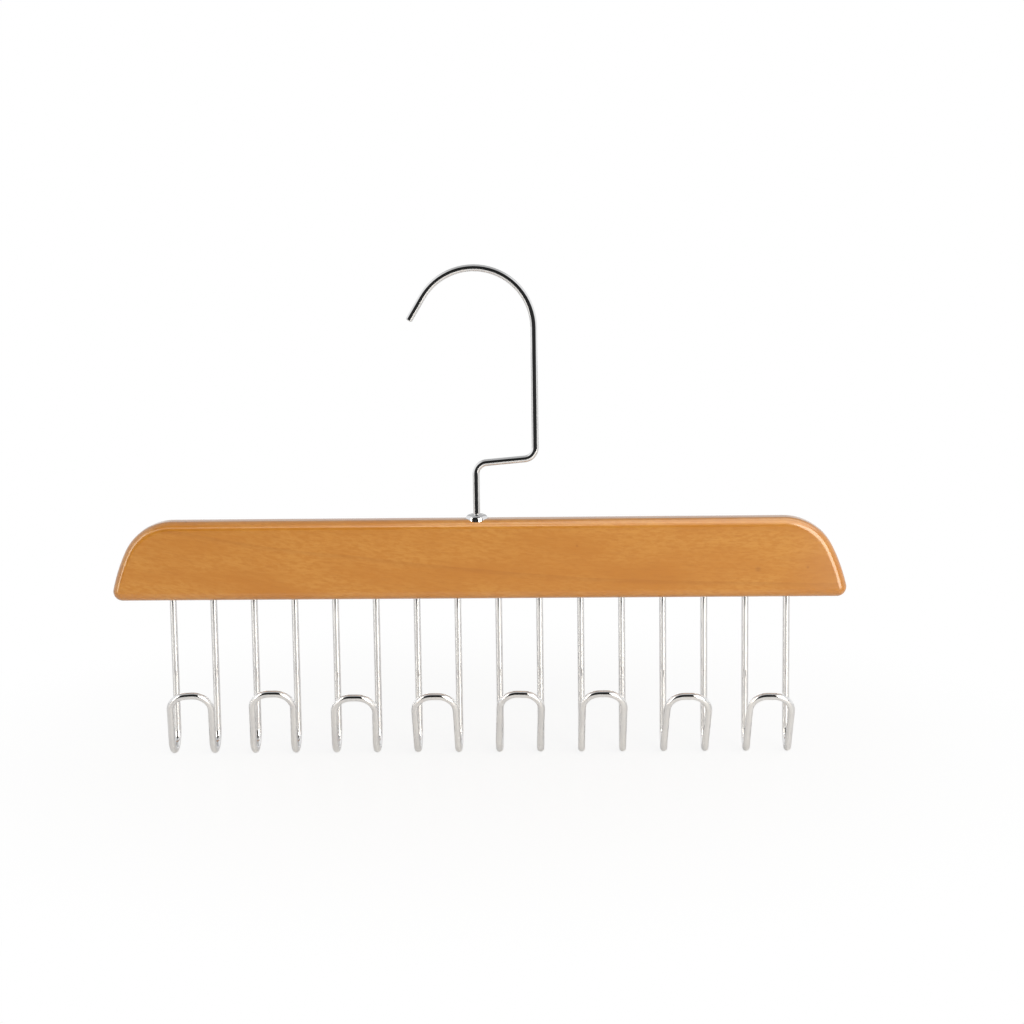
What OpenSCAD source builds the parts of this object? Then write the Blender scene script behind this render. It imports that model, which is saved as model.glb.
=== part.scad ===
// Wooden tie hanger: a rounded board on a swivel hook, with a row of bent wire tie hooks.
// Millimetres. The origin is the point inside the hook's crown that bears on the rod.
// +X runs along the board, +Z is up, and the open side of the tie hooks faces -Y.

/* [Board] */
// Length of the board, end to end
board_l = 320; // [260:1:400]
// Height of the board
board_h = 35; // [29:0.5:44]
// Thickness of the board
board_t = 12; // [10:0.5:16]
// Radius that rounds over every edge of the board
edge_r = 3.8; // [1:0.1:4]
// Radius of the two bottom corners, seen from the front
corner_r = 4.2; // [4.2:0.1:8]
// Lean of each end where it leaves the bottom corner, in degrees
end_lean = 13; // [5:1:18]
// Radius of the long curve up each end
end_r = 80; // [65:1:110]
// Radius of the shoulder that runs into the top edge
shoulder_r = 23.5; // [16:0.5:26]

/* [Swivel hook] */
// Diameter of the hook's wire
hook_wire_d = 3; // [2.5:0.1:4]
// Inside radius of the crown, which bears on the rod
crown_in_r = 24.3; // [19:0.1:30]
// Turn of the crown, in degrees from the straight neck to the tip
crown_turn = 149; // [120:1:170]
// Straight length at the tip
tip_l = 11.4; // [4:0.1:20]
// Chamfer round the cut end of the tip
tip_chamfer = 0.4; // [0.1:0.1:0.8]
// Drop from the rod seat to the top of the board
rod_drop = 107; // [85:1:130]
// Height above the board at which the offset run would meet the stem's axis
offset_h = 24; // [18:0.5:32]
// Climb of the offset run, in degrees
offset_climb = 5; // [0:1:12]
// Bend radius at both ends of the offset run, on the wire's centreline
offset_bend_r = 5; // [4:0.5:7]

/* [Swivel fitting] */
// Radial running clearance round the stem
run_gap = 0.05; // [0.02:0.01:0.1]
// Radial clearance of a piece that is pressed into the wood
seat_gap = 0.05; // [0.02:0.01:0.1]
// Gap between faces that turn on each other
face_gap = 0.08; // [0.05:0.01:0.2]
// Outside diameter of the sleeve's barbs
sleeve_d = 7.2; // [6.4:0.1:8]
// Length of the sleeve
sleeve_l = 12; // [8:0.5:16]
// Number of barbs round the sleeve
barb_count = 4; // [2:1:6]
// Depth of each barb
barb_depth = 0.35; // [0.1:0.05:0.6]
// Straight share of each barb's length
barb_land = 0.3; // [0.1:0.05:0.6]
// Diameter of the collar that shows on top of the board
collar_d = 9.6; // [9:0.1:11]
// Height of the collar's dome above the board
collar_h = 1.8; // [1.2:0.1:2.2]
// Depth of the spot face in the board that seats the collar
seat_depth = 1; // [0.4:0.1:1.6]
// Length of the collar's spigot in the bore
spigot_l = 1.5; // [1:0.1:4]
// Thickness of the washer under the sleeve
washer_t = 0.6; // [0.4:0.1:1.2]
// Inset of the washer's rim from the sleeve's barbs
washer_inset = 0.5; // [0.2:0.1:0.7]
// Inset of the stem's upset head from the sleeve's barbs
head_inset = 1; // [0.6:0.1:1.1]
// Thickness of the stem's upset head
head_t = 1.8; // [1:0.1:3]
// Room under the head at the bottom of the bore
bore_room = 0.7; // [0.3:0.1:2]

/* [Tie hooks] */
// Number of tie hooks
tie_count = 8; // [2:1:8]
// Diameter of the tie hooks' wire
tie_wire_d = 3; // [2.4:0.1:3.6]
// Distance between the two legs of one tie hook
leg_gap = 17.9; // [15.5:0.1:19]
// Distance from the end of the board to the outermost leg
end_margin = 25.75; // [24:0.25:40]
// Drop from the underside of the board to the lowest point of a tie hook
tie_drop = 67.3; // [55:0.1:82]
// Bend radius at the bottom of a tie hook, on the wire's centreline
trough_r = 7.5; // [5:0.1:9]
// Forward lean of the front of a tie hook, in degrees
front_lean = 23; // [10:1:30]
// Height of a tie hook's arch above its lowest point, to the top of the wire
arch_h = 30.7; // [25:0.1:38]
// Bend radius at the arch's two corners, on the wire's centreline
arch_r = 7.6; // [4:0.1:8.5]
// Length of each leg inside the board
leg_depth = 14; // [10:0.5:16]
// Radial glue gap round a leg in its hole
glue_gap = 0.05; // [0.02:0.01:0.1]
// Room above a leg at the end of its hole
hole_room = 0.5; // [0.2:0.1:1.5]

/* [Hidden] */
tie_names = [for (i = [1:tie_count]) str("tie_hook_", i)];
$fn = 64;

wood_colour = "#cd9254";
chrome_colour = "#d8dadd";
zinc_colour = "#a9adb0";
brass_colour = "#c9a55c";

// Heights of the board, from the rod seat
board_top = -rod_drop;
board_bottom = board_top - board_h;

// The board's edge radius is held below half its thickness and below its corner radius
edge_spare = 0.2;
round_r = min(edge_r, board_t / 2 - edge_spare, corner_r - edge_spare);

// Centres of the arcs along one end of the board, from the middle of its underside
function along(angle, length) = [length * cos(angle), length * sin(angle)];
corner_c = [board_l / 2 - corner_r, corner_r];
end_c = corner_c - along(end_lean, end_r - corner_r);
// Direction in which the long curve meets the shoulder, so that the shoulder ends at board_h
meet = asin((board_h - shoulder_r - end_c[1]) / (end_r - shoulder_r));
shoulder_c = end_c + along(meet, end_r - shoulder_r);
// Steps along each arc, and round each rounded edge
corner_steps = 8;
end_steps = 6;
shoulder_steps = 14;
round_fn = 24;

// A bend's wire is this much thinner in radius than the straights, which lap into it
thinning = 0.005;
lap = 0.05;
// Length by which a cutting tool runs out of what it cuts
run_out = 1;

// The swivel hook's bends
hook_r = hook_wire_d / 2;
crown_r = crown_in_r + hook_r;
offset_turn = 90 - offset_climb;
offset_tangent = offset_bend_r * tan(offset_turn / 2);
offset_run = crown_r / cos(offset_climb) - 2 * offset_tangent;
offset_rise = crown_r * tan(offset_climb);
neck_l = rod_drop - crown_in_r - offset_h - offset_rise - offset_tangent;

// The stem and what it turns in, down from the top of the board
stem_bore_r = hook_r + run_gap;
board_bore_d = sleeve_d + 2 * seat_gap;
sleeve_top = seat_depth + spigot_l;
washer_top = sleeve_top + sleeve_l + face_gap;
head_top = washer_top + washer_t + face_gap;
stem_end = head_top + head_t;
stem_l = stem_end + offset_h - offset_tangent;
bore_depth = stem_end + bore_room;

// The tie hooks
tie_r = tie_wire_d / 2;
tie_pitch = (board_l - 2 * end_margin - leg_gap) / (tie_count - 1);
leg_l = leg_depth + tie_drop - tie_r - trough_r;
trough_turn = 180 - front_lean;
// Height of the arch's centreline over the centre of the trough's bend
arch_rise = arch_h - 2 * tie_r - trough_r;
// Straight length of the front between the trough's bend and the arch's corner
front_l = (arch_rise + trough_r * sin(front_lean)) / cos(front_lean) - arch_r;
arch_l = leg_gap - 2 * arch_r;

// Straight length of wire along +Z, lapped at both ends, with what follows it
module run(length, r) {
    translate([0, 0, -lap]) cylinder(h = length + 2 * lap, r = r);
    translate([0, 0, length]) children();
}

// Bend of a wire from +Z towards +X, with what follows it
module bend(bend_r, turn, r) {
    translate([bend_r, 0, 0]) rotate([90, 0, 0]) rotate([0, 0, 180 - turn])
        rotate_extrude(angle = turn) translate([bend_r, 0]) circle(r - thinning);
    translate([bend_r, 0, 0]) rotate([0, turn, 0]) translate([-bend_r, 0, 0]) children();
}

// Turns what follows about the wire, so that the next bend goes another way
module twist(angle) {
    rotate([0, 0, angle]) children();
}

// The first drawn steps of an arc of the board's outline, with both of its edges rounded over
module rim_arc(centre, arc_r, from, to, steps, drawn) {
    step = (to - from) / steps;
    for (side = [-1, 1]) translate([centre[0], centre[1], side * (board_t / 2 - round_r)])
        rotate([0, 0, from])
        rotate_extrude(angle = drawn * step, $fn = 360 / step)
        intersection() {
            translate([arc_r - round_r, 0]) circle(round_r, $fn = round_fn);
            translate([0, -round_r]) square([arc_r, 2 * round_r]);
        }
}

// The rim of one end: the bottom corner, the long curve and the shoulder. Where an arc runs
// into the next, its last step is left to the hull, so that no two points nearly coincide.
module end_rim() {
    rim_arc(corner_c, corner_r, -90, end_lean, corner_steps, corner_steps - 1);
    rim_arc(end_c, end_r, end_lean, meet, end_steps, end_steps - 1);
    rim_arc(shoulder_c, shoulder_r, meet, 90, shoulder_steps, shoulder_steps);
}

// The undrilled board, drawn flat with its underside at y = 0
module board_blank() {
    hull() {
        end_rim();
        mirror([1, 0, 0]) end_rim();
    }
}

// Places what follows at each leg of a tie hook
module at_legs() {
    for (side = [-1, 1]) translate([side * leg_gap / 2, 0, 0]) children();
}

// Middle of tie hook i, counted from 1 at the -X end
function tie_x(i) = (i - (tie_count + 1) / 2) * tie_pitch;

module board() {
    color(wood_colour) difference() {
        translate([0, 0, board_bottom]) rotate([90, 0, 0]) board_blank();
        translate([0, 0, board_top - bore_depth])
            cylinder(h = bore_depth + run_out, d = board_bore_d);
        translate([0, 0, board_top - seat_depth])
            cylinder(h = seat_depth + run_out, d = collar_d + 2 * seat_gap);
        for (i = [1:tie_count]) translate([tie_x(i), 0, board_bottom - run_out]) at_legs()
            cylinder(h = leg_depth + hole_room + run_out, r = tie_r + glue_gap);
    }
}

// One wire: upset head, stem, offset, neck, crown and tip
module swivel_hook() {
    color(chrome_colour) translate([0, 0, board_top - stem_end]) {
        cylinder(h = head_t, r = sleeve_d / 2 - head_inset);
        translate([0, 0, head_t / 2]) run(stem_l - head_t / 2, hook_r)
            bend(offset_bend_r, offset_turn, hook_r)
            run(offset_run, hook_r) twist(180)
            bend(offset_bend_r, offset_turn, hook_r)
            run(neck_l, hook_r)
            bend(crown_r, crown_turn, hook_r)
            run(tip_l - tip_chamfer, hook_r)
            cylinder(h = tip_chamfer, r1 = hook_r - thinning, r2 = hook_r - tip_chamfer);
    }
}

// Domed collar in its seat, with a spigot in the bore
module collar() {
    crest_r = collar_d / 2 - collar_h;
    wall = [collar_d / 2 - stem_bore_r, sleeve_d / 2 - stem_bore_r];
    color(chrome_colour) translate([0, 0, board_top]) rotate_extrude() {
        intersection() {
            translate([crest_r, 0]) circle(collar_h);
            translate([stem_bore_r, 0]) square([wall[0], collar_h]);
        }
        translate([stem_bore_r, -seat_depth]) square([wall[0], seat_depth]);
        translate([stem_bore_r, -sleeve_top]) square([wall[1], sleeve_top]);
    }
}

// Barbed sleeve that grips the wood and carries the stem
module sleeve() {
    barb_l = sleeve_l / barb_count;
    crest = sleeve_d / 2;
    barbs = [for (i = [0:barb_count - 1]) each [
        [crest, -i * barb_l],
        [crest, -(i + barb_land) * barb_l],
        [crest - barb_depth, -(i + 1) * barb_l]
    ]];
    color(zinc_colour) translate([0, 0, board_top - sleeve_top]) rotate_extrude()
        polygon(concat([[stem_bore_r, -sleeve_l], [stem_bore_r, 0]], barbs));
}

// Washer between the sleeve and the stem's head
module washer() {
    color(brass_colour) translate([0, 0, board_top - washer_top - washer_t]) difference() {
        cylinder(h = washer_t, r = sleeve_d / 2 - washer_inset);
        translate([0, 0, -run_out]) cylinder(h = washer_t + 2 * run_out, r = stem_bore_r);
    }
}

// One wire: leg, trough, front, arch, front, trough and leg
module tie_hook(i) {
    color(chrome_colour)
        translate([tie_x(i) - leg_gap / 2, 0, board_bottom + leg_depth - lap])
        rotate([180, 0, 0]) twist(90)
        run(leg_l - lap, tie_r) bend(trough_r, trough_turn, tie_r)
        run(front_l, tie_r) twist(-90)
        bend(arch_r, 90, tie_r) run(arch_l, tie_r) bend(arch_r, 90, tie_r)
        run(front_l, tie_r) twist(90)
        bend(trough_r, trough_turn, tie_r) run(leg_l - lap, tie_r);
}

board();
swivel_hook();
collar();
sleeve();
washer();
for (i = [1:tie_count]) tie_hook(i);
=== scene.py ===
# %% [markdown]
# # A wooden tie hanger
# The object is a rounded wooden board that turns under a wire hook, with eight bent wire hooks for ties
# along its underside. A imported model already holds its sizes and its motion. This lesson models each
# visible piece again, smooth and finely rounded, in exactly the same place, gives every piece a
# procedural finish, and lights it as a studio would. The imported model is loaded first, because the
# sizes below are read from it or checked against it.

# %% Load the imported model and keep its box
import math

import bpy
from mathutils import Matrix, Vector


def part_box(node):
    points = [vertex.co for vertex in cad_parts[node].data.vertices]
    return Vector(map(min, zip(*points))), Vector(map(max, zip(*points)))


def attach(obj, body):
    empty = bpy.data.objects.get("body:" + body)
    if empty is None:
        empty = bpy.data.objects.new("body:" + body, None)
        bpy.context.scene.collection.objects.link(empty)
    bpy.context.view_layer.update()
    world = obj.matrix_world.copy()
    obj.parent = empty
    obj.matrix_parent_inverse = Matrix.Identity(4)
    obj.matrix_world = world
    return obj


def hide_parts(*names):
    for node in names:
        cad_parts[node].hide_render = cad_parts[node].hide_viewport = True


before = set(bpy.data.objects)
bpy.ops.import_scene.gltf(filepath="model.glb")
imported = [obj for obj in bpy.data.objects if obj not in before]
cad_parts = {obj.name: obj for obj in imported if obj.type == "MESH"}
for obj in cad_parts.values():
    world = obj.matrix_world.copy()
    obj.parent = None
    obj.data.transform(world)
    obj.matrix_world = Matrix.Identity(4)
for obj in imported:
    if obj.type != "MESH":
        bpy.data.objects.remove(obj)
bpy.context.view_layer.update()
MM = 0.001
print("nodes:", sorted(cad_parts))

# %% [markdown]
# ## The camera
# The photograph was taken from a little to the right of the hanger and from just above it, with a long
# lens. Its place and its turns were found by fitting the outlines of the board and of all the wires. A
# camera is turned in three steps: it is tipped up from looking straight down, turned about the upright
# axis, and rolled about its own line of sight.

# %% Set up the camera
CAMERA_PLACE = Vector((52.5, -980.3, 52.6)) * MM
CAMERA_YAW = math.radians(2.17)
CAMERA_PITCH = math.radians(9.09)
CAMERA_ROLL = math.radians(-0.80)
LENS_MM = 80.38

bpy.ops.object.select_all(action="DESELECT")
bpy.ops.object.camera_add(location=CAMERA_PLACE)
camera = bpy.context.object
turn = Matrix.Rotation(CAMERA_YAW, 4, "Z")
turn = turn @ Matrix.Rotation(math.pi / 2 - CAMERA_PITCH, 4, "X")
turn = turn @ Matrix.Rotation(CAMERA_ROLL, 4, "Z")
camera.matrix_world = Matrix.Translation(CAMERA_PLACE) @ turn
camera.data.lens = LENS_MM
bpy.context.scene.camera = camera
print("camera at", [round(c, 4) for c in camera.location])

# %% [markdown]
# ## Sizes
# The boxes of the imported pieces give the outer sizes: the board's length, thickness and height, and the
# place of each tie hook. Radii of bends and of rounded edges can't be read from a box, so they are named
# here in millimetres. The last lines rebuild a few box sizes from them, and print by how much they miss.

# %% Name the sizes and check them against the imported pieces
board_low, board_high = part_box("board")
BOARD_TOP, BOARD_BOTTOM = board_high.z, board_low.z
BOARD_HEIGHT = BOARD_TOP - BOARD_BOTTOM
BOARD_THICK = board_high.y - board_low.y
HALF_LENGTH = board_high.x
EDGE_RADIUS = 3.8 * MM
CORNER_RADIUS = 4.2 * MM
END_RADIUS = 80 * MM
SHOULDER_RADIUS = 23.5 * MM
END_LEAN = math.radians(13)

HOOK_RADIUS = 1.5 * MM
CROWN_INSIDE = 24.3 * MM
CROWN_TURN = 149
TIP_LENGTH, TIP_CHAMFER = 11.4 * MM, 0.4 * MM
OFFSET_HEIGHT, OFFSET_CLIMB, OFFSET_BEND = 24 * MM, 5, 5 * MM

TIE_RADIUS = 1.5 * MM
LEG_DEPTH = 14 * MM
TROUGH_RADIUS, FRONT_LEAN = 7.5 * MM, 23
ARCH_HEIGHT, ARCH_RADIUS = 30.7 * MM, 7.6 * MM

tie_names = sorted(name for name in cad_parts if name.startswith("tie_hook"))
tie_low, tie_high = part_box(tie_names[0])
LEG_GAP = tie_high.x - tie_low.x - 2 * TIE_RADIUS
tie_middle = {name: sum(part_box(name), Vector()).x / 2 for name in tie_names}
hook_low, hook_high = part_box("swivel_hook")
print("board mm:", [round(s / MM, 2) for s in (2 * HALF_LENGTH, BOARD_THICK, BOARD_HEIGHT)])
print("legs", round(LEG_GAP / MM, 2), "mm apart, hooks at", [round(x / MM, 1) for x in tie_middle.values()])
print("crown misses by", round((hook_high.z - 2 * HOOK_RADIUS) / MM, 3), "mm")
print("neck misses by", round((hook_high.x - CROWN_INSIDE - 2 * HOOK_RADIUS) / MM, 3), "mm")

# %% [markdown]
# ## Modelling helpers
# An operator works on whatever is selected, and a freshly loaded model is selected all over. So every
# piece starts by clearing the selection. Inside a mesh, vertices are picked by where they are, with a
# small test function, which reads like pointing at them.

# %% Helpers for selecting and finishing
def select_only(piece):
    """Makes one piece the only selected object, and the active one."""
    bpy.ops.object.select_all(action="DESELECT")
    piece.select_set(True)
    bpy.context.view_layer.objects.active = piece


def pick(piece, test):
    """Picks the vertices whose place passes the test, from inside edit mode."""
    bpy.ops.object.mode_set(mode="OBJECT")
    for part in (*piece.data.polygons, *piece.data.edges):
        part.select = False
    for vertex in piece.data.vertices:
        vertex.select = bool(test(vertex.co))
    bpy.ops.object.mode_set(mode="EDIT")


def modify(piece, kind, **settings):
    """Adds one modifier with its settings and applies it to the mesh."""
    select_only(piece)
    modifier = piece.modifiers.new(kind.title(), kind)
    for name, value in settings.items():
        setattr(modifier, name, value)
    bpy.ops.object.modifier_apply(modifier=modifier.name)


def settle(piece, crease_degrees):
    """Leaves edit mode, puts the piece's place in its mesh and shades it, sharp only at its creases."""
    bpy.ops.object.mode_set(mode="OBJECT")
    bpy.ops.object.transform_apply(location=True, rotation=True, scale=True)
    bpy.ops.object.shade_smooth_by_angle(angle=math.radians(crease_degrees))
    return piece


# %% [markdown]
# ## The wire bender
# All the hooks are round wire bent on a machine, and they are modelled the way they are made. A circle
# is the wire's section. Extruding it gives a straight length, and spinning it about a point beside it
# gives a bend. The bender only remembers where the end of the wire is and which way it points. The same
# tool turns small round pieces on a lathe, by widening and narrowing the end ring as it goes.

# %% A bender that feeds, bends and widens wire
WIRE_SIDES = 40
DEGREES_PER_STEP = 5


class Bender:
    """Feeds wire from a start point along a direction."""

    def __init__(self, name, radius, start, along):
        self.place, self.along, self.radius = Vector(start), Vector(along).normalized(), radius
        square_to_wire = self.along.to_track_quat("Z", "Y").to_euler()
        bpy.ops.object.select_all(action="DESELECT")
        bpy.ops.mesh.primitive_circle_add(
            vertices=WIRE_SIDES, radius=radius, location=self.place, rotation=square_to_wire)
        self.piece = bpy.context.object
        self.piece.name = self.piece.data.name = name
        bpy.ops.object.transform_apply(location=True, rotation=True, scale=True)
        bpy.ops.object.mode_set(mode="EDIT")
        bpy.ops.mesh.select_all(action="SELECT")

    def feed(self, length, radius=None):
        """Pushes out a straight length, whose end may have another radius."""
        step = self.along * length
        bpy.ops.mesh.extrude_region_move(TRANSFORM_OT_translate={"value": step})
        self.place = self.place + step
        if radius is not None:
            scale = radius / self.radius
            bpy.ops.transform.resize(value=(scale,) * 3, center_override=self.place)
            self.radius = radius
        return self

    def bend(self, radius, degrees, towards):
        """Bends the wire towards a direction that is square to it. The operator turns clockwise
        about its axis, so it gets the axis that points the other way."""
        towards = Vector(towards).normalized()
        axis = self.along.cross(towards)
        centre = self.place + towards * radius
        angle = math.radians(degrees)
        steps = math.ceil(degrees / DEGREES_PER_STEP)
        bpy.ops.mesh.spin(steps=steps, angle=angle, center=centre, axis=-axis)
        turned = Matrix.Rotation(angle, 3, axis)
        self.place = centre + turned @ (self.place - centre)
        self.along = turned @ self.along
        return self

    def cut(self, crease_degrees=35):
        """Joins ends that meet, closes the others, and turns every face outwards."""
        bpy.ops.mesh.select_all(action="SELECT")
        bpy.ops.mesh.remove_doubles(threshold=0.001 * MM)
        bpy.ops.mesh.select_all(action="DESELECT")
        bpy.ops.mesh.select_non_manifold()
        bpy.ops.mesh.edge_face_add()
        bpy.ops.mesh.select_all(action="SELECT")
        bpy.ops.mesh.normals_make_consistent(inside=False)
        return settle(self.piece, crease_degrees)


# %% [markdown]
# ## The tie hooks
# Each tie hook is one length of wire. It comes down out of the board as a leg, turns forward at the
# bottom, rises to an arch, and goes the same way back up. Because the bender works from the wire's own
# end, the list of feeds and bends reads like the setting sheet of the machine. One wire is bent and the
# others are copies of it. Real ones are bent and set by hand, so no two arches stand quite alike. Each
# copy therefore gets its arch moved by about a millimetre at most, nearly always to the right, and up or
# down, and four of them are tipped a little too. The legs and bottom bends stay where they are.

# %% Bend one tie hook and set eight copies of it
lean = math.radians(FRONT_LEAN)
trough_turn = 180 - FRONT_LEAN
tie_drop = BOARD_BOTTOM - tie_low.z
leg_length = LEG_DEPTH + tie_drop - TIE_RADIUS - TROUGH_RADIUS
arch_rise = ARCH_HEIGHT - 2 * TIE_RADIUS - TROUGH_RADIUS
front_length = (arch_rise + TROUGH_RADIUS * math.sin(lean)) / math.cos(lean) - ARCH_RADIUS
arch_length = LEG_GAP - 2 * ARCH_RADIUS
front_up = Vector((0, -math.sin(lean), math.cos(lean)))
into_trough = Vector((0, math.cos(lean), math.sin(lean)))

wire = Bender("tie_wire", TIE_RADIUS, (-LEG_GAP / 2, 0, BOARD_BOTTOM + LEG_DEPTH), (0, 0, -1))
wire.feed(leg_length).bend(TROUGH_RADIUS, trough_turn, (0, -1, 0)).feed(front_length)
wire.bend(ARCH_RADIUS, 90, (1, 0, 0)).feed(arch_length).bend(ARCH_RADIUS, 90, -front_up)
wire.feed(front_length).bend(TROUGH_RADIUS, trough_turn, into_trough).feed(leg_length)
first_wire = wire.cut()

# How far each arch stands to the right and up, in millimetres, and how it tips, in degrees
ARCH_SETS = [(0.4, 0.2, 4), (0.8, 1.0, 1), (0.7, -0.9, 0), (-0.2, -0.5, 0),
             (1.0, 0.4, -1), (0.6, 0.4, 0), (1.1, -0.9, 0), (0.9, -1.1, -1)]
behind_arch = -(2 * TROUGH_RADIUS + TIE_RADIUS) / 2
under_arch = tie_low.z + ARCH_HEIGHT / 2
tie_wires = {}
for number, name in enumerate(tie_names, 1):
    to_side, upwards, tip = ARCH_SETS[number - 1]
    select_only(first_wire)
    bpy.ops.object.duplicate()
    copy = bpy.context.object
    copy.name = copy.data.name = f"tie_wire_{number}"
    pick(copy, lambda co: co.y < behind_arch and co.z > under_arch)
    bpy.ops.transform.translate(value=(to_side * MM, 0, upwards * MM))
    bpy.ops.transform.rotate(value=math.radians(tip), orient_axis="Y",
                             center_override=(0, 0, tie_low.z + ARCH_HEIGHT))
    bpy.ops.object.mode_set(mode="OBJECT")
    copy.location.x = tie_middle[name]
    bpy.ops.object.transform_apply(location=True, rotation=True, scale=True)
    tie_wires[name] = copy
bpy.data.objects.remove(first_wire)
print(len(tie_wires), "tie hooks of", len(copy.data.polygons), "faces")

# %% [markdown]
# ## The swivel hook
# The big hook starts inside the board, where its end is upset into a small head that keeps it from
# pulling out. The stem rises through the collar, steps sideways, and rises again as the neck, so that
# the crown stands centred over the board. The tip is a plain cut with a small chamfer.

# %% Bend the swivel hook
HEAD_RADIUS, HEAD_HEIGHT, HEAD_ROUNDING = hook_high.y, 1.8 * MM, 0.4 * MM
crown_radius = CROWN_INSIDE + HOOK_RADIUS
climb = math.radians(OFFSET_CLIMB)
offset_turn = 90 - OFFSET_CLIMB
offset_tangent = OFFSET_BEND * math.tan(math.radians(offset_turn / 2))
offset_length = crown_radius / math.cos(climb) - 2 * offset_tangent
offset_rise = crown_radius * math.tan(climb)
stem_length = BOARD_TOP + OFFSET_HEIGHT - offset_tangent - hook_low.z - HEAD_HEIGHT
neck_length = -BOARD_TOP - CROWN_INSIDE - OFFSET_HEIGHT - offset_rise - offset_tangent
off_climb = Vector((-math.sin(climb), 0, math.cos(climb)))

wire = Bender("swivel_wire", HEAD_RADIUS - HEAD_ROUNDING, (0, 0, hook_low.z), (0, 0, 1))
wire.feed(HEAD_ROUNDING, HEAD_RADIUS).feed(HEAD_HEIGHT - 2 * HEAD_ROUNDING)
wire.feed(HEAD_ROUNDING, HEAD_RADIUS - HEAD_ROUNDING).feed(0, HOOK_RADIUS).feed(stem_length)
wire.bend(OFFSET_BEND, offset_turn, (1, 0, 0)).feed(offset_length)
wire.bend(OFFSET_BEND, offset_turn, off_climb).feed(neck_length)
wire.bend(crown_radius, CROWN_TURN, (-1, 0, 0)).feed(TIP_LENGTH - TIP_CHAMFER)
wire.feed(TIP_CHAMFER, HOOK_RADIUS - TIP_CHAMFER)
swivel_wire = wire.cut()
print("tip ends at", [round(c / MM, 2) for c in wire.place], "mm, packed box starts at",
      [round(c / MM, 2) for c in hook_low], "mm")

# %% [markdown]
# ## The collar
# A small domed ring sits in a shallow seat on top of the board, round the stem. It is a turned piece, so
# it is made with the same tool as the wire: a ring that is pushed up and widened or narrowed, out over
# the spigot, up over the dome and back down through the bore, until it meets its own start.

# %% Turn the collar
collar_low, collar_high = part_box("collar")
COLLAR_RADIUS, DOME_HEIGHT = collar_high.x, collar_high.z - BOARD_TOP
SEAT_DEPTH, SPIGOT_RADIUS, RUNNING_GAP = 1.0 * MM, 3.6 * MM, 0.05 * MM
DOME_STEPS = 20
bore_radius = HOOK_RADIUS + RUNNING_GAP
crest_radius = COLLAR_RADIUS - DOME_HEIGHT
inner_angle = math.acos((bore_radius - crest_radius) / DOME_HEIGHT)

ring = Bender("domed_collar", bore_radius, (0, 0, collar_low.z), (0, 0, 1))
ring.feed(0, SPIGOT_RADIUS).feed(BOARD_TOP - SEAT_DEPTH - collar_low.z)
ring.feed(0, COLLAR_RADIUS).feed(SEAT_DEPTH)
height = 0
for step in range(1, DOME_STEPS + 1):
    angle = inner_angle * step / DOME_STEPS
    rise = DOME_HEIGHT * math.sin(angle) - height
    height += rise
    ring.feed(rise, crest_radius + DOME_HEIGHT * math.cos(angle))
ring.feed(collar_low.z - BOARD_TOP - height)
domed_collar = ring.cut(crease_degrees=50)
print("collar", round(2 * COLLAR_RADIUS / MM, 2), "mm across,", round(DOME_HEIGHT / MM, 2), "mm high")

# %% [markdown]
# ## The board
# Seen from the front, each end of the board is three arcs that run into each other: a small bottom
# corner, a long steep curve and a round shoulder. The outline is drawn with one vertex that is spun about
# each arc's centre in turn, mirrored, filled, and given its thickness. A bevel then rounds over every
# edge, as a router does.

# %% Draw the outline of the board and give it its thickness
CORNER_STEPS, END_STEPS, SHOULDER_STEPS = 20, 16, 32
NEAR = 0.01 * MM


def beyond(centre, angle, length):
    """The point that lies at an angle and a distance from a centre, seen from the front."""
    return centre + Vector((math.cos(angle), 0, math.sin(angle))) * length


front_y = -BOARD_THICK / 2
corner_centre = Vector((HALF_LENGTH - CORNER_RADIUS, front_y, BOARD_BOTTOM + CORNER_RADIUS))
end_centre = beyond(corner_centre, END_LEAN, CORNER_RADIUS - END_RADIUS)
shoulder_rise = BOARD_TOP - SHOULDER_RADIUS - end_centre.z
meet = math.asin(shoulder_rise / (END_RADIUS - SHOULDER_RADIUS))
shoulder_centre = beyond(end_centre, meet, END_RADIUS - SHOULDER_RADIUS)

bpy.ops.object.select_all(action="DESELECT")
bpy.ops.mesh.primitive_plane_add(size=MM, location=beyond(corner_centre, -math.pi / 2, CORNER_RADIUS))
board = bpy.context.object
board.name = board.data.name = "varnished_board"
bpy.ops.object.transform_apply(location=True, rotation=True, scale=True)
bpy.ops.object.mode_set(mode="EDIT")
bpy.ops.mesh.select_all(action="SELECT")
bpy.ops.mesh.merge(type="CENTER")
arcs = [(corner_centre, END_LEAN + math.pi / 2, CORNER_STEPS),
        (end_centre, meet - END_LEAN, END_STEPS),
        (shoulder_centre, math.pi / 2 - meet, SHOULDER_STEPS)]
for centre, angle, steps in arcs:
    bpy.ops.mesh.spin(steps=steps, angle=angle, center=centre, axis=(0, 1, 0))
bpy.ops.object.mode_set(mode="OBJECT")
modify(board, "MIRROR", use_mirror_merge=False)
bpy.ops.object.mode_set(mode="EDIT")
straight_top = shoulder_centre.x + NEAR
straight_bottom = corner_centre.x + NEAR
pick(board, lambda co: co.z > BOARD_TOP - NEAR and abs(co.x) < straight_top)
bpy.ops.mesh.edge_face_add()
pick(board, lambda co: co.z < BOARD_BOTTOM + NEAR and abs(co.x) < straight_bottom)
bpy.ops.mesh.edge_face_add()
bpy.ops.mesh.select_all(action="SELECT")
bpy.ops.mesh.edge_face_add()
bpy.ops.mesh.extrude_region_move(TRANSFORM_OT_translate={"value": (0, BOARD_THICK, 0)})
bpy.ops.mesh.select_all(action="SELECT")
bpy.ops.mesh.normals_make_consistent(inside=False)
bpy.ops.object.mode_set(mode="OBJECT")
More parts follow.
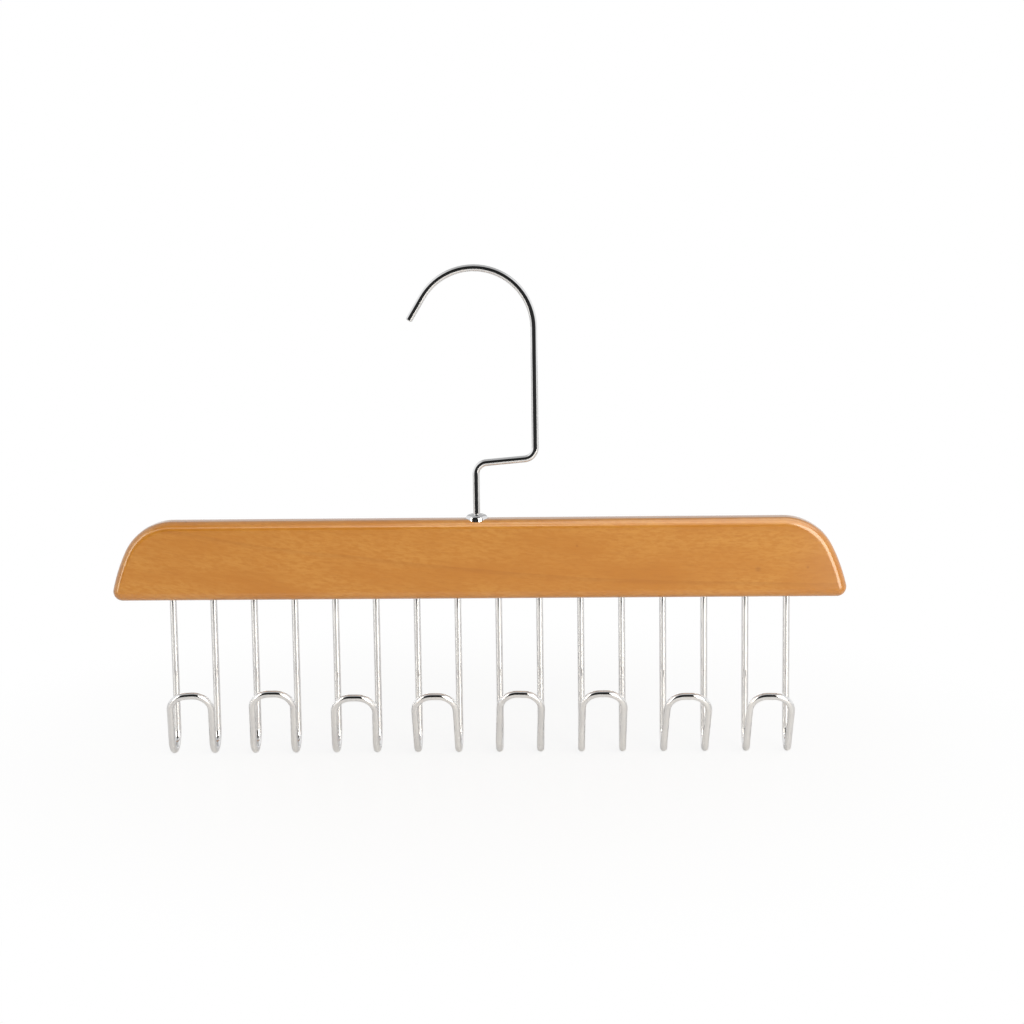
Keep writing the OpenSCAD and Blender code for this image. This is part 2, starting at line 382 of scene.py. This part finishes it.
print("outline:", len(board.data.vertices) // 2, "points, shoulder meets the end at",
      round(math.degrees(meet), 1), "degrees")

# %% [markdown]
# ## Rounding and drilling
# The bevel rounds both rims with the router's radius. The holes come after it, as in the workshop: 16
# blind holes for the legs and one stepped bore for the collar and the swivel. Each drill is turned like
# the collar. A leg drill has a slight flare at the mouth, because sanding and varnish soften the edge of
# a hole. All drills are joined, so that one boolean makes all the cuts.

# %% Round the edges and drill the holes
EDGE_SEGMENTS = 14
GLUE_GAP, HOLE_ROOM, RUN_OUT = 0.05 * MM, 0.5 * MM, 2 * MM
FLARE = 0.25 * MM
BORE_RADIUS, BORE_ROOM, SEAT_GAP = 3.65 * MM, 0.7 * MM, 0.05 * MM

modify(board, "BEVEL", width=EDGE_RADIUS, segments=EDGE_SEGMENTS, limit_method="ANGLE",
       angle_limit=math.radians(60), use_clamp_overlap=False)

hole_radius = TIE_RADIUS + GLUE_GAP
drills = []
for middle in tie_middle.values():
    for leg in (middle - LEG_GAP / 2, middle + LEG_GAP / 2):
        drill = Bender("leg_drill", hole_radius, (leg, 0, BOARD_BOTTOM + LEG_DEPTH + HOLE_ROOM), (0, 0, -1))
        drill.feed(LEG_DEPTH + HOLE_ROOM - FLARE).feed(FLARE, hole_radius + FLARE).feed(RUN_OUT)
        drills.append(drill.cut())
bore_bottom = hook_low.z - BORE_ROOM
drill = Bender("bore_drill", BORE_RADIUS, (0, 0, bore_bottom), (0, 0, 1))
drill.feed(BOARD_TOP - SEAT_DEPTH - bore_bottom).feed(0, COLLAR_RADIUS + SEAT_GAP).feed(SEAT_DEPTH + RUN_OUT)
drills.append(drill.cut())
select_only(drills[0])
for drill in drills:
    drill.select_set(True)
bpy.ops.object.join()
modify(board, "BOOLEAN", operation="DIFFERENCE", solver="EXACT", object=drills[0])
bpy.data.objects.remove(drills[0])
select_only(board)
bpy.ops.object.shade_smooth_by_angle(angle=math.radians(40))
modify(board, "WEIGHTED_NORMAL", keep_sharp=True, weight=100)
print("board:", len(board.data.polygons), "faces,", len(drills), "holes")

# %% [markdown]
# ## Shader sums
# A finish is a small calculation: streaks plus specks, times a colour. This class wraps one socket, so
# that sums on values can be written as plain Python, and each sum adds its own node. Any other node
# comes from one method, which takes the node's kind, its settings and the values of its sockets.

# %% A class for shader sums
class Value:
    """One output of a node, which can be used in sums."""

    def __init__(self, tree, socket=None):
        self.tree, self.socket = tree, socket

    def node(self, kind, settings=None, output=0, **sockets):
        """Adds a node. Settings come first, then its sockets get their values or links. A socket is
        called by its name, or by i and its number where several share a name."""
        made = self.tree.nodes.new("ShaderNode" + kind)
        for name, value in (settings or {}).items():
            setattr(made, name, value)
        for name, value in sockets.items():
            key = int(name[1:]) if name[1:].isdigit() else name.replace("_", " ")
            if isinstance(value, Value):
                self.tree.links.new(value.socket, made.inputs[key])
            else:
                made.inputs[key].default_value = value
        return Value(self.tree, made.outputs[output])

    def sum(self, operation, first, second=0.0):
        """Adds one Math node."""
        return self.node("Math", {"operation": operation}, i0=first, i1=second)

    def __add__(self, other):
        return self.sum("ADD", self, other)

    def __sub__(self, other):
        return self.sum("SUBTRACT", self, other)

    def __rsub__(self, other):
        return self.sum("SUBTRACT", other, self)

    def __mul__(self, other):
        return self.sum("MULTIPLY", self, other)

    __radd__, __rmul__ = __add__, __mul__

    def ramp(self, low, high):
        """Rises smoothly from 0 at low to 1 at high."""
        return self.node("MapRange", {"interpolation_type": "SMOOTHSTEP"}, Value=self,
                         From_Min=low, From_Max=high)

    def mix(self, first, second):
        """Blends two colours, with this value as the share of the second."""
        return self.node("Mix", {"data_type": "RGBA"}, output=2, i0=self, i6=first, i7=second)


def new_finish(name):
    """A new material with no nodes yet, and a first value to build its sums from."""
    material = bpy.data.materials.new(name)
    material.use_nodes = True
    material.node_tree.nodes.clear()
    return material, Value(material.node_tree)


def finish_with(material, shader):
    """Sends a shader to the material's output."""
    output = material.node_tree.nodes.new("ShaderNodeOutputMaterial")
    material.node_tree.links.new(shader.socket, output.inputs["Surface"])
    return material


def linear(red, green, blue):
    """A colour as a screen shows it, 0 to 255, turned into the light that a shader works with."""
    return tuple(((c / 255 + 0.055) / 1.055) ** 2.4 for c in (red, green, blue))


print("a mid grey of 128 is", round(linear(128, 128, 128)[0], 3), "as light")

# %% [markdown]
# ## Varnished wood
# The board is a pale, close-grained wood under a clear honey-coloured varnish. Four things show from
# near: broad soft patches of a deeper orange, short flecks, fine fibres, and one darker growth line that
# curves down to the right. In real wood a growth line is a thin shell that goes right through the board.
# So the shader first works out how far each point lies from that curved shell, and draws everything else
# along it. Three pin knots are small round spots. The varnish is a clear coat over the wood, and the
# flecks and fibres raise it by a few thousandths of a millimetre.

# %% Make the wood finish
GROWTH_HEIGHT, GROWTH_SLOPE, GROWTH_CURVE = 13.4 * MM, -0.092, 0.295
GROWTH_TILT, GROWTH_WOBBLE = 0.45, 3 * MM
LATE_WOOD_EDGE, LATE_WOOD_FADE = 0.5 * MM, 2.5 * MM

# The place of each pin knot and its size, in millimetres
PIN_KNOTS = [((43.5, -6.0, -118.5), 0.5), ((121.6, -6.0, -129.2), 1.1), ((143.0, -6.0, -128.5), 0.6)]
VARNISH_RIPPLE = 0.01 * MM


def make_wood():
    """Honey wood under clear gloss varnish."""
    material, start = new_finish("varnished_wood")
    place = start.node("TexCoord", output=3)
    x, y, z = (start.node("SeparateXYZ", output=axis, Vector=place) for axis in range(3))
    wobble = start.node("TexNoise", Vector=place, Scale=14.0, Detail=2.0) - 0.5
    inwards = y + BOARD_THICK / 2
    shell = x * GROWTH_SLOPE + x * x * GROWTH_CURVE + inwards * GROWTH_TILT + wobble * GROWTH_WOBBLE
    over = z - (BOARD_BOTTOM + GROWTH_HEIGHT) - shell

    def along_grain(a_metre_along, a_metre_over, detail):
        """Noise with so many features a metre along the grain and over it."""
        stretched = start.node("CombineXYZ", X=x * a_metre_along, Y=y * a_metre_over * 0.5,
                               Z=over * a_metre_over)
        return start.node("TexNoise", Vector=stretched, Scale=1.0, Detail=detail, Roughness=0.55)

    patches = along_grain(20, 75, 3.0)
    flecks = along_grain(300, 900, 3.0)
    fibres = along_grain(180, 3500, 4.0)
    late_wood = over.ramp(LATE_WOOD_EDGE, 0) * over.ramp(-LATE_WOOD_FADE, 0)
    knots = 0
    for spot, size in PIN_KNOTS:
        away = start.node("VectorMath", {"operation": "DISTANCE"}, output=1,
                          i0=place, i1=Vector(spot) * MM)
        knots = away.ramp(size * 1.6 * MM, size * 0.3 * MM) + knots
    pale, deep = (*linear(188, 129, 51), 1), (*linear(175, 110, 28), 1)
    dark = (*linear(136, 75, 15), 1)
    base = patches.ramp(0.3, 0.72).mix(pale, deep)
    flecked = (flecks.ramp(0.35, 0.7) * 0.8).mix(base, deep)
    lined = (late_wood * 0.16 + fibres.ramp(0.45, 0.8) * 0.2 + knots * 0.35).mix(flecked, dark)
    bump = start.node("Bump", Height=fibres + flecks, Distance=VARNISH_RIPPLE, Strength=0.4)
    shader = start.node("BsdfPrincipled", Base_Color=lined, Roughness=0.3 + flecks * 0.15,
                        Specular_Tint=(1.0, 0.85, 0.6, 1), Coat_Weight=1.0, Coat_Roughness=0.13,
                        Coat_IOR=1.6, Normal=bump)
    return finish_with(material, shader)


wood_finish = make_wood()
print("wood:", len(wood_finish.node_tree.nodes), "nodes")

# %% [markdown]
# ## Metals
# The wires and the collar are steel with bright chrome plate: almost a mirror, a little hazy in places
# and never quite straight, because drawn wire has long shallow waves. The hidden sleeve is zinc plated,
# with the soft patches that zinc has, and the hidden washer is tumbled brass.

# %% Make the metal finishes
def make_metal(name, shade, other_shade, patch_size, roughness, wave_length, wave):
    """A metal with two shades in patches, a roughness that varies, and waves of a length and depth."""
    material, start = new_finish(name)
    place = start.node("TexCoord", output=3)
    patches = start.node("TexNoise", Vector=place, Scale=1 / patch_size, Detail=3.0)
    ripple = start.node("TexNoise", Vector=place, Scale=1 / wave_length, Detail=1.0)
    colour = patches.ramp(0.35, 0.65).mix((*shade, 1), (*other_shade, 1))
    bump = start.node("Bump", Height=ripple, Distance=wave, Strength=1.0)
    shader = start.node("BsdfPrincipled", Base_Color=colour, Metallic=1.0, Normal=bump,
                        Roughness=roughness[0] + patches * (roughness[1] - roughness[0]))
    return finish_with(material, shader)


chrome_finish = make_metal("bright_chrome", (0.80, 0.80, 0.80), (0.74, 0.74, 0.75),
                           12 * MM, (0.05, 0.10), 9 * MM, 0.01 * MM)
zinc_finish = make_metal("zinc_plate", (0.62, 0.64, 0.66), (0.47, 0.49, 0.51),
                         1.5 * MM, (0.25, 0.45), 0.6 * MM, 0.01 * MM)
brass_finish = make_metal("tumbled_brass", (0.75, 0.55, 0.25), (0.62, 0.43, 0.17),
                          2 * MM, (0.2, 0.4), 0.5 * MM, 0.01 * MM)
print("metals:", chrome_finish.name, zinc_finish.name, brass_finish.name)

# %% [markdown]
# ## Putting the pieces in their bodies
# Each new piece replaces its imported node, rides on that node's body, and takes its finish. The hidden
# sleeve and washer are already round and smooth enough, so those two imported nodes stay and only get
# their finish.

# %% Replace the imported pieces
def stand_for(piece, node, body, finish):
    """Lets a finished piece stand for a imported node."""
    piece.data.materials.clear()
    piece.data.materials.append(finish)
    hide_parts(node)
    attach(piece, body)


stand_for(board, "board", "board", wood_finish)
stand_for(domed_collar, "collar", "board", chrome_finish)
stand_for(swivel_wire, "swivel_hook", "hook", chrome_finish)
for name, wire_piece in tie_wires.items():
    stand_for(wire_piece, name, "board", chrome_finish)
for name, finish in (("sleeve", zinc_finish), ("washer", brass_finish)):
    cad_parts[name].data.materials.clear()
    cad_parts[name].data.materials.append(finish)
print("replaced", 3 + len(tie_wires), "nodes")

# %% [markdown]
# ## The floor
# The hanger stands upright on a white table, so the floor lies just under the tie hooks. It ends a
# little in front of the picture's lower edge, as a table does, and the dark room beyond it is what draws
# the dark lines in the chrome. Seen straight from the camera it is lightened towards white, so that it
# runs into the background and still keeps the soft shadow under the wires.

# %% Lay the floor
FLOOR_GAP = 0.1 * MM
TABLE_FRONT, TABLE_BACK, TABLE_SIDE = -0.33, 1.6, 1.6
PALER_FROM, WHITE_FROM, NEAR_WHITENESS = 0.16, 0.36, 0.8


def make_floor():
    """White table top, lightened for the camera away from the object."""
    material, start = new_finish("white_table")
    place = start.node("TexCoord", output=3)
    distance = start.node("VectorMath", {"operation": "LENGTH"}, output=1, i0=place)
    whiteness = distance.ramp(PALER_FROM, WHITE_FROM) * (1 - NEAR_WHITENESS) + NEAR_WHITENESS
    seen = start.node("LightPath", output=0)
    plain = start.node("BsdfPrincipled", Base_Color=(0.88, 0.88, 0.88, 1), Roughness=0.35)
    glow = start.node("Emission", Color=(1, 1, 1, 1), Strength=1.0)
    return finish_with(material, start.node("MixShader", i0=seen * whiteness, i1=plain, i2=glow))


bpy.ops.object.select_all(action="DESELECT")
bpy.ops.mesh.primitive_plane_add(size=1)
floor = bpy.context.object
floor.name = "table"
floor.scale = (2 * TABLE_SIDE, TABLE_BACK - TABLE_FRONT, 1)
floor.location = (0, (TABLE_BACK + TABLE_FRONT) / 2, tie_low.z - FLOOR_GAP)
floor.data.materials.append(make_floor())
bpy.ops.object.transform_apply(location=True, rotation=True, scale=True)
print("floor at", round(floor.data.vertices[0].co.z / MM, 2), "mm")

# %% [markdown]
# ## Studio light
# Chrome has hardly a colour of its own, so its look is the room's. Whatever lies within about 65 degrees
# of the front is dark, and so the swivel hook shows a dark core. The sides are as white as the
# background, and so is what lies low behind the board. Overhead it is grey. The varnish asks for
# something else: its edges show a broad cream light on the right and a thin one on the left and along
# the top. Two tall soft boxes in a cream shade light the board, the tie hooks, the collar and the table,
# at a level at which the wood shows about the colour that its finish has. Five cards in the same shade
# only shine in the varnish: three along the top and two, quite faint, on the flat face. No lamp lights
# the swivel hook, because in its chrome a lamp would be a hard white spot.

# %% Set the room
DARK_WITHIN, LIT_BEYOND, LOW_UP_TO = math.radians(58), math.radians(72), math.radians(16)
OVERHEAD_DIM, FRONT_DIM = 0.45, 0.97


def make_room():
    """A white background for the camera, and the room that lights the object and shows in chrome."""
    world = bpy.data.worlds.new("studio")
    bpy.context.scene.world = world
    world.use_nodes = True
    world.node_tree.nodes.clear()
    start = Value(world.node_tree)
    direction = start.node("TexCoord", output=0)
    x, y, z = (start.node("SeparateXYZ", output=axis, Vector=direction) for axis in range(3))
    front = (0 - y).ramp(math.cos(LIT_BEYOND), math.cos(DARK_WITHIN))
    sides = start.sum("ABSOLUTE", x).ramp(0.35, 0.65)
    low = z.ramp(math.sin(LOW_UP_TO), 0)
    room = 1 - (1 - sides) * (1 - low) * OVERHEAD_DIM
    lit = room * (1 - front * FRONT_DIM)
    seen = start.node("LightPath", output=0)
    brightness = lit * (1 - seen) + seen
    back = start.node("Background", Color=(1, 1, 1, 1), Strength=brightness)
    output = world.node_tree.nodes.new("ShaderNodeOutputWorld")
    world.node_tree.links.new(back.socket, output.inputs["Surface"])


make_room()
print("room:", len(bpy.context.scene.world.node_tree.nodes), "nodes")

# %% Set up the soft boxes
BOX_SHADE = (1.0, 0.95, 0.86)
BOARD_MIDDLE = Vector((0, 0, (BOARD_TOP + BOARD_BOTTOM) / 2))
box_lit = bpy.data.collections.new("lit_by_soft_boxes")
wood_lit = bpy.data.collections.new("lit_by_cards")
for piece in (board, floor):
    box_lit.objects.link(piece)
    wood_lit.objects.link(piece)
for piece in (domed_collar, *tie_wires.values()):
    box_lit.objects.link(piece)


def soft_box(name, azimuth, elevation, width, height, distance, brightness, pieces):
    """A soft box at so many degrees to the right of the front and above the board, and so many metres
    away. Its width and height are what the board sees of it, in degrees. Brightness 1 looks as white
    as paper."""
    side, rise = math.radians(azimuth), math.radians(elevation)
    towards = Vector((math.sin(side) * math.cos(rise), -math.cos(side) * math.cos(rise), math.sin(rise)))
    bpy.ops.object.select_all(action="DESELECT")
    bpy.ops.object.light_add(type="AREA", location=BOARD_MIDDLE + towards * distance)
    lamp = bpy.context.object
    lamp.name = name
    lamp.rotation_euler = (-towards).to_track_quat("-Z", "Y").to_euler()
    lamp.data.shape = "RECTANGLE"
    lamp.data.size = 2 * distance * math.tan(math.radians(width / 2))
    lamp.data.size_y = 2 * distance * math.tan(math.radians(height / 2))
    lamp.data.energy = brightness * math.pi * lamp.data.size * lamp.data.size_y
    lamp.data.color = BOX_SHADE
    lamp.light_linking.receiver_collection = pieces
    return lamp


def card(*place_and_size):
    """A card that shows in the varnish of the board and adds no light to the colour of the wood."""
    lamp = soft_box(*place_and_size, wood_lit)
    lamp.visible_diffuse = False


soft_box("key_box", 37, 14.5, 34, 49, 2.0, 6.4, box_lit)
soft_box("left_box", -57, 8, 14, 56, 1.6, 4.6, box_lit)
card("front_strip", -24, 34, 44, 8, 1.6, 3.2)
card("top_card", 65, 62, 60, 50, 0.6, 1.9)
card("upper_card", 18, 46, 46, 38, 1.4, 1.4)
card("left_card", -15, -11, 50, 12, 1.2, 0.5)
card("right_card", 21, -11, 17, 12, 1.2, 1.6)
scene = bpy.context.scene
scene.view_settings.view_transform = "Standard"
